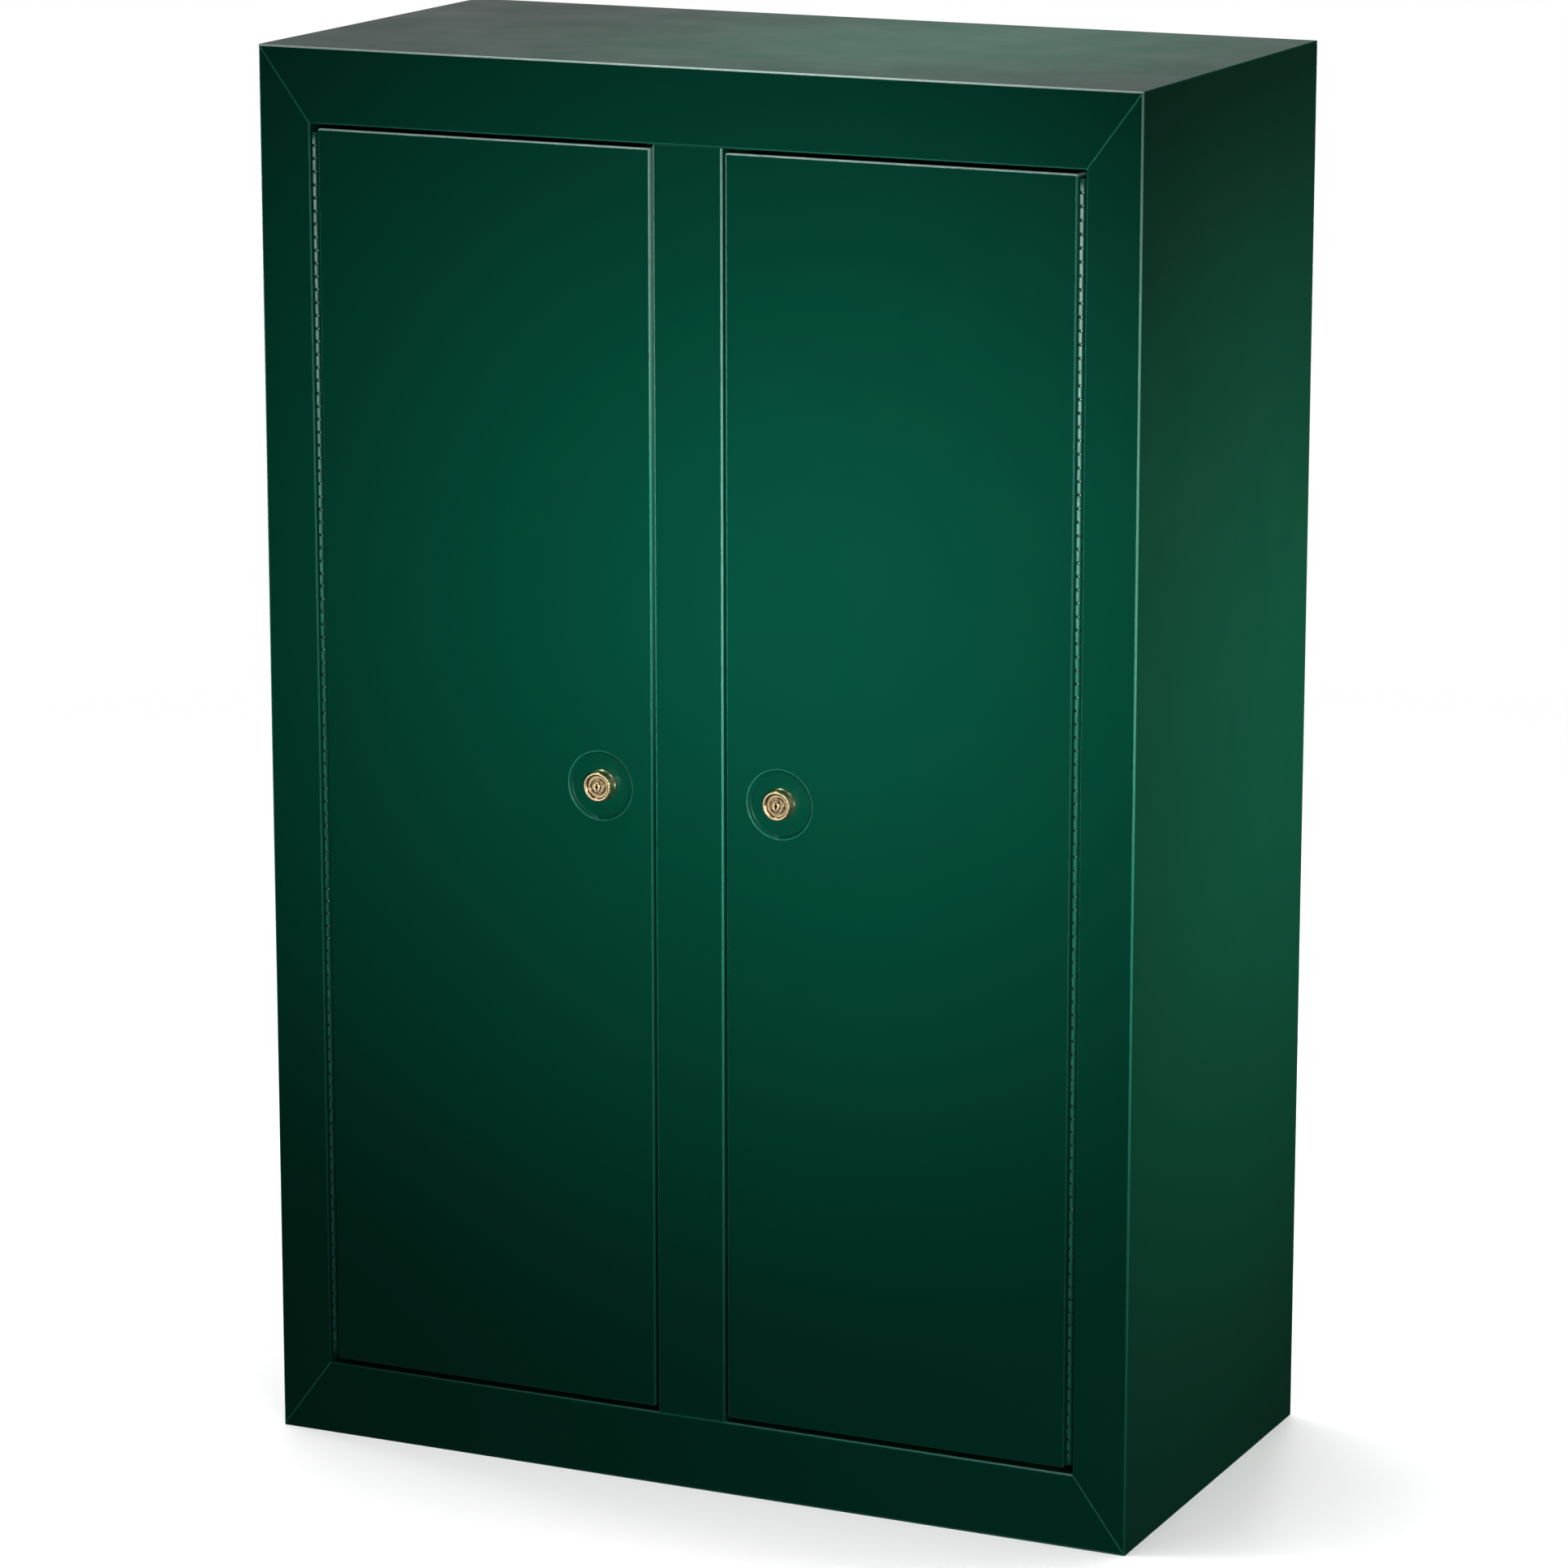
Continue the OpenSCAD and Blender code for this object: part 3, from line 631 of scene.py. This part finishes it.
def make_mitre_beads():
    """The fine welded bead that closes each mitre of the front frame."""
    half, rise, sunk = 0.7 * MM, 0.3 * MM, 0.02 * MM
    steps, cuts = 6, 30
    n = steps + 1
    for name, sx, sz in (("a", -1, 1), ("b", 1, 1), ("c", -1, -1), ("d", 1, -1)):
        outer = Vector((sx * (HALF_W - BEND), CASE_H / 2 + sz * (CASE_H / 2 - BEND * RAIL / STILE)))
        inner = Vector((sx * OPEN_X, CASE_H / 2 + sz * (CASE_H / 2 - RAIL)))
        across = (outer - inner).orthogonal().normalized()
        verts = []
        for i in range(cuts + 1):
            middle = inner.lerp(outer, i / cuts)
            for k in range(n):
                a = math.pi * k / steps
                p = middle + across * half * math.cos(a)
                verts.append((p.x, FRONT_Y - rise * math.sin(a) + sunk, p.y))
        faces = strips(cuts + 1, n)
        faces += [list(range(n))[::-1], [cuts * n + k for k in range(n)]]
        new_piece("mitre_bead_" + name, verts, faces, GREEN, "case", edge=0)


# Doors


def rounded_ring(inset, corner, steps=5):
    """Points round a door at an inset from its edge, with a middle point on each upright side."""
    x0, x1 = door_lo.x + inset, door_hi.x - inset
    z0, z1 = door_lo.z + inset, door_hi.z - inset
    points = []
    for cx, cz, start in (
        (x1 - corner, z1 - corner, 0),
        (x0 + corner, z1 - corner, 90),
        (x0 + corner, z0 + corner, 180),
        (x1 - corner, z0 + corner, 270),
    ):
        for k in range(steps + 1):
            a = math.radians(start + 90 * k / steps)
            points.append((cx + corner * math.cos(a), cz + corner * math.sin(a)))
        if start == 90:
            points.append((x0, LOCK_Z))
    points.append((x1, LOCK_Z))
    return points


def pan_rings():
    """The pan's outer surface from its face round both bends to its back lip: (inset, depth)."""
    depth = door_hi.y - door_lo.y
    rings = []
    for k in range(BEND_STEPS + 1):
        a = math.pi / 2 * k / BEND_STEPS
        rings.append((BEND * (1 - math.sin(a)), BEND * (1 - math.cos(a))))
    for k in range(BEND_STEPS + 1):
        a = math.pi / 2 * k / BEND_STEPS
        rings.append((BEND * (1 - math.cos(a)), depth - BEND * (1 - math.sin(a))))
    rings.append((SHEET + DOOR_LIP, depth))
    return rings


def dish_profile():
    """The pressed dish: a rounded shoulder, a steep wall and a flat floor, as (radius, depth)."""
    steps = 12
    hole_r = (lock_hi.z - LOCK_Z) * 0.62 + 0.4 * MM
    rows = []
    for k in range(steps + 1):
        t = k / steps
        ease = t**3 * (t * (6 * t - 15) + 10)
        rows.append((DISH_R + (DISH_FLOOR_R - DISH_R) * t, DISH_D * ease))
    rows.append((hole_r, DISH_D))
    return rows


def door_mesh():
    """The left door's outer surface: the pan's rings, the dish and the flat face between them."""
    verts = []
    rings = pan_rings()
    for inset, depth in rings:
        corner = max(DOOR_CORNER - inset, 0.8 * MM)
        verts += [(x, FRONT_Y + depth, z) for x, z in rounded_ring(inset, corner)]
    n = len(rounded_ring(0, MM))
    faces = strips(len(rings), n)

    steps = 96
    base = len(verts)
    dish = dish_profile()
    for r, depth in dish:
        for k in range(steps):
            a = 2 * math.pi * k / steps
            verts.append((LOCK_X + r * math.cos(a), FRONT_Y + depth, LOCK_Z + r * math.sin(a)))
    faces += strips(len(dish), steps, base)

    patch = len(verts)
    half = 50 * MM
    for k in range(steps):
        a = 2 * math.pi * k / steps
        c, s = math.cos(a), math.sin(a)
        reach = half / max(abs(c), abs(s))
        verts.append((LOCK_X + reach * c, FRONT_Y, LOCK_Z + reach * s))
    for k in range(steps):
        j = (k + 1) % steps
        faces.append([base + k, base + j, patch + j, patch + k])
    right_mid, left_mid = n - 1, n // 2 - 1
    upper = [right_mid, *range(0, left_mid + 1)]
    lower = [*range(left_mid, right_mid + 1)]
    faces.append(upper + [patch + k for k in range(steps // 2, -1, -1)])
    faces.append(lower + [patch + k % steps for k in range(steps, steps // 2 - 1, -1)])
    return verts, faces


def make_door_skins():
    """A door: a shallow pan of sheet with a round dish for the lock and slots for the rods."""
    verts, faces = door_mesh()
    play, reach = 0.5 * MM, 4 * MM
    for side, points in (("left_", verts), ("right_", mirrored(verts))):
        skin = new_piece(
            side + "door_sheet", points, faces, GREEN, side + "door", side + "door_skin"
        )
        face_outwards(skin)
        solid = skin.modifiers.new("solid", "SOLIDIFY")
        solid.thickness = SHEET
        solid.offset = -1
        apply_first(skin, solid)
        for rod, z in (("upper_rod", door_hi.z), ("lower_rod", door_lo.z)):
            lo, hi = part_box(side + rod)
            low = (lo.x - play, lo.y - play, z - reach)
            high = (hi.x + play, hi.y + play, z + reach)
            cut(skin, low, high)


def face_outwards(obj):
    """Turns an open sheet's normals so that its front faces -Y."""
    bm = bmesh.new()
    bm.from_mesh(obj.data)
    biggest = max(bm.faces, key=lambda f: f.calc_area())
    if biggest.normal.y > 0:
        bmesh.ops.reverse_faces(bm, faces=bm.faces)
    bm.to_mesh(obj.data)
    bm.free()


# Hinges


def knuckle_line():
    """The right-hand leaf's centre line, from just behind the knuckle and round the pin."""
    r = KNUCKLE_R - LEAF_T / 2
    leaf = LEAF_OUT - LEAF_T / 2
    steps, start, sweep = 20, 8, 318
    points = [(leaf, LEAF_RELIEF + 0.4 * MM), (leaf, 2.4 * MM)]
    for k in range(steps + 1):
        a = math.radians(start - sweep * k / steps)
        points.append((r * math.cos(a), r * math.sin(a)))
    return points


def make_hinge(kind, sign, first):
    """A piano hinge leaf: a plate with a rolled knuckle at every second place."""
    line = [Vector(p) for p in knuckle_line()]
    left, right = [], []
    for i, p in enumerate(line):
        along = (line[min(i + 1, len(line) - 1)] - line[max(i - 1, 0)]).normalized()
        normal = Vector((-along.y, along.x))
        left.append(p + normal * LEAF_T / 2)
        right.append(p - normal * LEAF_T / 2)
    verts, faces = [], []

    def put(shape, z0, z1, levels=(0, 1)):
        def place(p, level):
            return (PIN_X + sign * p.x, PIN_Y + p.y, z0 + (z1 - z0) * level)

        more, more_faces = extruded(shape, place, levels)
        faces.extend([[i + len(verts) for i in f] for f in more_faces])
        verts.extend(more)

    for k in range(first, KNUCKLE_N, 2):
        z = HINGE_Z + k * KNUCKLE_PITCH
        low = z + (KNUCKLE_GAP / 2 if k else 0)
        last = k == KNUCKLE_N - 1
        high = z + KNUCKLE_PITCH - (0 if last else KNUCKLE_GAP / 2)
        put((left, right), low, high, KNUCKLE_LEVELS)
    plate = [Vector((LEAF_OUT - LEAF_T / 2, y)) for y in (LEAF_RELIEF, LEAF_D)]
    sides = [[p + Vector((s * LEAF_T / 2, 0)) for p in plate] for s in (-1, 1)]
    put(sides, HINGE_Z, HINGE_Z + KNUCKLE_N * KNUCKLE_PITCH)
    body = "case" if kind == "frame" else "door"
    both_sides(
        f"hinge_{kind}_leaf", verts, faces, GREEN, body, f"{kind}_leaf", edge=0.15 * MM, steps=1
    )


# Locks


def make_lock_housings():
    """The lock's head with its rounded rim and recessed ring, its flange and its threaded barrel."""
    flange = lock_hi.z - LOCK_Z
    head = flange - 1.0 * MM
    bore = 7.05 * MM
    barrel = 9.5 * MM
    pitch, thread = 1.25 * MM, 0.45 * MM
    foot = FRONT_Y + DISH_D
    collar = [(0, 1.2), (0.3, 0.8), (0.8, 0.8), (1.1, 1.2), (1.2, 3.0)]
    ring = [(3.6, 3.0), (3.5, 0.8), (3.0, 0.25), (2.3, 0)]
    rim = [(1.2, 0), (0.5, 0.2), (0.1, 0.7), (0, 1.2)]
    profile = [(bore + out * MM, LOCK_FACE + back * MM) for out, back in collar]
    profile += [(head - inward * MM, LOCK_FACE + back * MM) for inward, back in ring + rim]
    profile += [(head, foot - 2.2 * MM), (flange, foot - 1.0 * MM), (flange, foot)]
    profile.append((barrel, foot))
    count = int((LOCK_END - foot - 2 * SHEET) / pitch)
    for k in range(count):
        start = LOCK_END - (count - k) * pitch
        profile += [(barrel, start), (barrel - thread, start + pitch / 2)]
    profile += [(barrel - 0.3 * MM, LOCK_END), (bore, LOCK_END)]
    verts, faces = turned(profile, LOCK_X, LOCK_Z, closed=True)
    both_sides(
        "lock_head", verts, faces, BRASS, "door", "lock_housing", edge=0.1 * MM, steps=1
    )


def plug_profile(r, sunk, shank):
    """The plug's outline as (radius, y): a sunk disc inside a narrow raised rim, and a shank."""
    rim = LOCK_FACE + 0.4 * MM
    return [
        (0, LOCK_FACE + sunk),
        (r - 1.0 * MM, LOCK_FACE + sunk),
        (r - 0.7 * MM, rim),
        (r - 0.2 * MM, rim),
        (r, LOCK_FACE + 0.7 * MM),
        (r, shank),
        (0, shank),
    ]


def boss_mesh(x, sunk):
    """The plug's six-sided boss, with its face's edges taken off."""
    wide, tall, shoulder = 3.3 * MM, 5.5 * MM, 0.45
    verts = []
    for grow, depth in ((-0.5 * MM, 0), (0, 0.4 * MM), (0, sunk + 0.3 * MM)):
        w, t = wide + grow, tall + grow
        s = shoulder * t
        for px, pz in ((0, t), (w, s), (w, -s), (0, -t), (-w, -s), (-w, s)):
            verts.append((x + px, LOCK_FACE + depth, LOCK_Z + pz))
    front, back = list(range(6)), list(range(12, 18))[::-1]
    return verts, [front, back, *strips(3, 6)]


def make_lock_plugs():
    """The turning plug: a sunk disc, a tall six-sided boss with the keyhole, and a square tail."""
    sunk, tail = 2.2 * MM, 4 * MM
    slot_w, slot_h, slot_d = 0.8 * MM, 3.9 * MM, 14 * MM
    hole_r, hole_d = 1.6 * MM, 13 * MM
    before = LOCK_FACE - MM
    for side, sign in (("left_", 1), ("right_", -1)):
        lo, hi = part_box(side + "lock_plug")
        x = sign * LOCK_X
        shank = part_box(side + "lock_cam")[1].y - 3.3 * MM
        profile = plug_profile((hi.x - lo.x) / 2, sunk, shank)
        verts, faces = turned(profile, x, LOCK_Z, steps=64)
        plug = new_piece(
            side + "plug", verts, faces, BRASS, side + "lock", side + "lock_plug", edge=0.08 * MM, steps=1
        )
        combine(plug, *boss_mesh(x, sunk), "UNION")
        low = (x - tail, shank - 0.1 * MM, LOCK_Z - tail)
        high = (x + tail, hi.y, LOCK_Z + tail)
        combine(plug, *box_mesh(low, high), "UNION")
        low = (x - slot_w, before, LOCK_Z - slot_h)
        high = (x + slot_w, LOCK_FACE + slot_d, LOCK_Z + slot_h)
        cut(plug, low, high)
        end = LOCK_FACE + hole_d
        hole = [(0, before), (hole_r, before), (hole_r, end), (0, end)]
        combine(plug, *turned(hole, x, LOCK_Z, steps=24), "DIFFERENCE")


# Foam


def crowned_pad(lo, hi, round_r, crown, inset_steps=9, corner_steps=8):
    """A foam pad as nested rounded rings: upright side, rounded shoulder and crowned top."""
    top = hi.z - lo.z
    depth = min(hi.x - lo.x, hi.y - lo.y) / 2 - round_r
    rows = [(1.2 * MM, 0.0), (0.3 * MM, 0.12 * top), (0.0, 0.35 * top)]
    shoulder = 0.45 * top
    crown_steps = 6
    for k in range(inset_steps):
        a = math.pi / 2 * k / (inset_steps - 1)
        rise = (top - crown - shoulder) * math.sin(a)
        rows.append((shoulder * (1 - math.cos(a)), shoulder + rise))
    for k in range(1, crown_steps + 1):
        t = k / crown_steps
        rows.append((shoulder + (depth - shoulder) * t, top - crown * (1 - t) ** 2))
    verts = []
    for inset, height in rows:
        r = max(round_r * (1 - 0.4 * inset / depth), 1 * MM)
        x0, x1 = lo.x + inset, hi.x - inset
        y0, y1 = lo.y + inset, hi.y - inset
        for cx, cy, start in (
            (x1 - r, y1 - r, 0),
            (x0 + r, y1 - r, 90),
            (x0 + r, y0 + r, 180),
            (x1 - r, y0 + r, 270),
        ):
            for k in range(corner_steps + 1):
                a = math.radians(start + 90 * k / corner_steps)
                verts.append((cx + r * math.cos(a), cy + r * math.sin(a), lo.z + height))
    n = 4 * (corner_steps + 1)
    faces = strips(len(rows), n)
    faces.append(list(range(n))[::-1])
    faces.append([(len(rows) - 1) * n + k for k in range(n)])
    return verts, faces


def make_floor_pads():
    for side in ("left_", "right_"):
        lo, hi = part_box(side + "floor_pad")
        verts, faces = crowned_pad(lo, hi, 14 * MM, 1.5 * MM)
        pad = new_piece(
            side + "floor_foam", verts, faces, FOAM, "case", side + "floor_pad", edge=0
        )


def make_barrel_rest():
    """The notched foam strip, remeshed so that its cut edges are round and its top is crowned."""
    lo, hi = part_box("barrel_rest")
    middle = (lo.x + hi.x) / 2
    pitch, notch_r, notch_y = 80 * MM, 16 * MM, lo.y + 12 * MM
    notch_steps, crown = 16, 2.0 * MM
    outline = [(lo.x, lo.y)]
    for i in range(-2, 3):
        x = middle + i * pitch
        outline.append((x - notch_r, lo.y))
        for k in range(notch_steps + 1):
            a = math.pi * (1 - k / notch_steps)
            outline.append((x + notch_r * math.cos(a), notch_y + notch_r * math.sin(a)))
        outline.append((x + notch_r, lo.y))
    outline += [(hi.x, lo.y), (hi.x, hi.y), (lo.x, hi.y)]
    n = len(outline)
    verts = [(x, y, z) for z in (lo.z, hi.z - 1.2 * MM) for x, y in outline]
    faces = [list(range(n))[::-1], [n + k for k in range(n)]]
    faces += [[k, (k + 1) % n, n + (k + 1) % n, n + k] for k in range(n)]
    rest = new_piece("barrel_foam", verts, faces, FOAM, "case", "barrel_rest", edge=0)
    remesh = rest.modifiers.new("remesh", "REMESH")
    remesh.mode = "VOXEL"
    remesh.voxel_size = 2.5 * MM
    apply_first(rest, remesh)
    smooth = rest.modifiers.new("smooth", "SMOOTH")
    smooth.factor = 0.5
    smooth.iterations = 7
    apply_first(rest, smooth)
    for v in rest.data.vertices:
        t = (v.co.z - lo.z) / (hi.z - lo.z)
        across = (2 * v.co.y - lo.y - hi.y) / (hi.y - lo.y)
        v.co.z += crown * max(t, 0) * (1 - across * across)
        v.co.z = min(max(v.co.z, lo.z), hi.z + 1 * MM)
    rest.data.shade_smooth()


# CAD nodes that stay


def dress_cad_nodes():
    """The CAD nodes still shown get their slot's material and softened edges."""
    for name, obj in frame["nodes"].items():
        if obj.hide_render:
            continue
        obj.data.materials.clear()
        obj.data.materials.append(MATERIALS[SLOTS[name]])
        soften(obj, 0.2 * MM, 1)


# Camera, floor and lights


def make_camera():
    data = bpy.data.cameras.new("camera")
    data.sensor_width = CAMERA_SENSOR
    data.lens = CAMERA_LENS
    data.clip_end = CAMERA_REACH
    camera = bpy.data.objects.new("camera", data)
    camera.location = CAMERA_PLACE
    camera.rotation_euler = (math.radians(90 - CAMERA_DOWN), 0, math.radians(CAMERA_TURN))
    bpy.context.scene.collection.objects.link(camera)
    bpy.context.scene.camera = camera


def make_floor():
    """A pale floor that fades into the pale studio. Gives back a collection that holds it alone."""
    mesh = bpy.data.meshes.new("floor")
    mesh.from_pydata([(x * FLOOR_R, y * FLOOR_R, 0) for x, y in SQUARE], [], [(0, 1, 2, 3)])
    floor = bpy.data.objects.new("floor", mesh)
    bpy.context.scene.collection.objects.link(floor)
    n = Nodes("pale_floor")
    shade = n.blend(n.span(n.noise(0.8), 0, 1), FLOOR_GREY, FLOOR_PALE)
    n.finish(shade, n.span(n.noise(3.0), 0.85, 0.95), Specular_IOR_Level=0.1)
    reach = n.add("ShaderNodeVectorMath", operation="LENGTH")
    n.link(n.place, reach.inputs[0])
    solid = n.span(reach.outputs["Value"], 1.0, 0.0, *FLOOR_FADE)
    n.link(solid, n.shader.inputs["Alpha"])
    mesh.materials.append(n.material)
    floor.visible_diffuse = False
    floor.visible_glossy = False
    only = bpy.data.collections.new("floor_only")
    only.objects.link(floor)
    return only


def light_only(light, slot, *names):
    """Keeps a light to the pieces in one slot whose names hold one of the given words, if any."""
    only = bpy.data.collections.new(light.name + "_only")
    for obj in bpy.context.scene.objects:
        in_slot = slot in (obj.get("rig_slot"), SLOTS.get(obj.name))
        if in_slot and (not names or any(word in obj.name for word in names)):
            only.objects.link(obj)
    light.light_linking.receiver_collection = only


def area_light(name, place, aim, size, power, colour=(1, 1, 1), spread=180):
    """A rectangular light at a place, pointed at aim and hidden from the camera. Spread in degrees."""
    data = bpy.data.lights.new(name, "AREA")
    data.shape = "RECTANGLE"
    data.size, data.size_y = size
    data.energy = power
    data.color = colour
    data.spread = math.radians(spread)
    light = bpy.data.objects.new(name, data)
    light.location = place
    light.rotation_euler = (Vector(aim) - Vector(place)).to_track_quat("-Z", "Y").to_euler()
    bpy.context.scene.collection.objects.link(light)
    light.visible_camera = False
    return light


def make_body_lights():
    """Soft spots on the doors, sides, top and back."""
    mid = 0.5 * CASE_H
    spot, small, panel = (0.25, 0.25), (0.4, 0.4), (0.8, 0.8)
    area_light("key", (1.5, -3.2, 1.25), (0.09, FRONT_Y, 0.90), spot, power=1.95, spread=24)
    area_light("low", (2.3, -3.0, 0.5), (0.42, FRONT_Y, 0.2), small, power=1.0, spread=38)
    aim = (HALF_W, 0.20, 0.73)
    area_light("side", (3.4, 1.6, 1.0), aim, small, power=2.3, colour=SIDE_TINT, spread=26)
    aim = (0.15, 0.05, CASE_H)
    area_light("above", (0.0, 0.15, 3.0), aim, (0.5, 0.3), power=1.0, spread=30)
    area_light("top_edge", (-1.3, -1.0, 4.0), (0, FRONT_Y, CASE_H), (0.35, 0.35), power=27)
    area_light("right_edge", (3.1, -1.45, 0.55), (HALF_W, FRONT_Y, 1.0), spot, power=4.5)
    area_light("back", (-2.6, 6.0, 2.6), (0, 0, CASE_H), (6, 2.4), power=24)
    area_light("rear", (-0.7, 4.2, 0.75), (0, BACK_Y, mid), panel, power=6, spread=50)
    area_light("left", (-4.2, 0.8, 0.8), (-HALF_W, 0, mid), panel, power=5, spread=40)


def make_linked_lights(floor_only):
    """Lights that fall on the brass, the steel, the inner sheets, the foam or the floor alone."""
    mid = 0.5 * CASE_H
    locks = (-0.05, FRONT_Y, LOCK_Z)
    ahead, inner, wide = (0.3, -5.0, 1.6), (0.1, 0, mid), (3, 3)
    light = area_light("card", (-1.35, -2.95, 0.5), locks, (1.0, 1.0), power=9)
    light_only(light, BRASS)
    light = area_light("crown", (1.5, -1.7, 2.85), locks, (1.2, 1.2), power=12)
    light_only(light, BRASS)
    for name, side in (("steel_left", -1), ("steel_right", 1)):
        light = area_light(name, (side * 3.5, -3.5, 2.2), (side * 0.3, FRONT_Y, 0.7), wide, power=160)
        light_only(light, ZINC, "rod", "lock", "cam", "guide", "standards", "clips")
    light = area_light("inside", ahead, inner, wide, power=110)
    light_only(light, GREEN, "back_panel", "divider", "shelf", "bracket")
    light = area_light("foam", ahead, inner, wide, power=110)
    light_only(light, FOAM)
    light = area_light("wash", (0, 0, 6), (0, 0.01, 0), (5, 5), power=620)
    light.light_linking.receiver_collection = floor_only


def make_studio():
    """A world that the camera sees as pale, and that lights the cabinet only dimly."""
    world = bpy.data.worlds.new("studio")
    world.use_nodes = True
    nodes, links = world.node_tree.nodes, world.node_tree.links
    back = nodes["Background"]
    back.inputs["Color"].default_value = (1, 1, 1, 1)
    seen = nodes.new("ShaderNodeLightPath").outputs["Is Camera Ray"]
    level = nodes.new("ShaderNodeMapRange")
    level.inputs["To Min"].default_value = STUDIO_DIM
    level.inputs["To Max"].default_value = STUDIO_PALE
    links.new(seen, level.inputs["Value"])
    links.new(level.outputs["Result"], back.inputs["Strength"])
    bpy.context.scene.world = world


make_sides()
make_ends()
make_post()
make_mitre_beads()
make_door_skins()
make_hinge("frame", -1, 0)
make_hinge("door", 1, 1)
make_lock_housings()
make_lock_plugs()
make_floor_pads()
make_barrel_rest()
# Painted highlights along the bends, beads and knuckles
paint_all_bend_highlights()
dress_cad_nodes()
make_camera()
floor_only = make_floor()
make_body_lights()
make_linked_lights(floor_only)
make_studio()
bpy.context.scene.view_settings.view_transform = "Standard"
